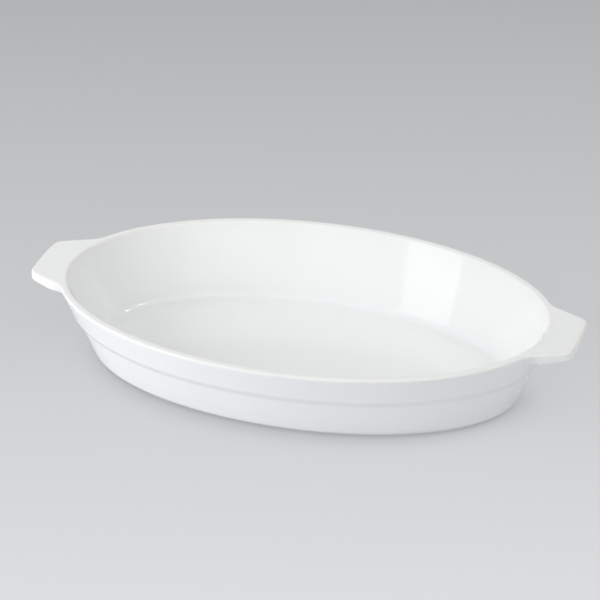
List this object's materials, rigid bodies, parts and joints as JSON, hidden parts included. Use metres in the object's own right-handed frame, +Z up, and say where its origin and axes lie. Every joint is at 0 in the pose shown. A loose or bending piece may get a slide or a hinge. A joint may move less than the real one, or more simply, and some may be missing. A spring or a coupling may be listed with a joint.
{
  "type": "gratin dish",
  "caption": "Shallow oval gratin dish in white glazed stoneware, with leaning walls, a banded rim, a flat lug handle at each end and a bare foot ring.",
  "frame": {"origin": "the middle of the foot ring's resting face, on the table", "axes": "+X along the dish from handle to handle, +Y across it, +Z up out of the opening"},
  "size_m": [0.36, 0.2072, 0.055],
  "materials": {
    "white_glaze": "smooth glossy white glaze, a little thinner and warmer on the edges",
    "bare_clay": "unglazed fired stoneware, matt and slightly gritty"
  },
  "bodies": {
    "root": {"bowl": "white_glaze", "handle_left": "white_glaze", "handle_right": "white_glaze", "foot_ring": "bare_clay"}
  },
  "joints": []
}
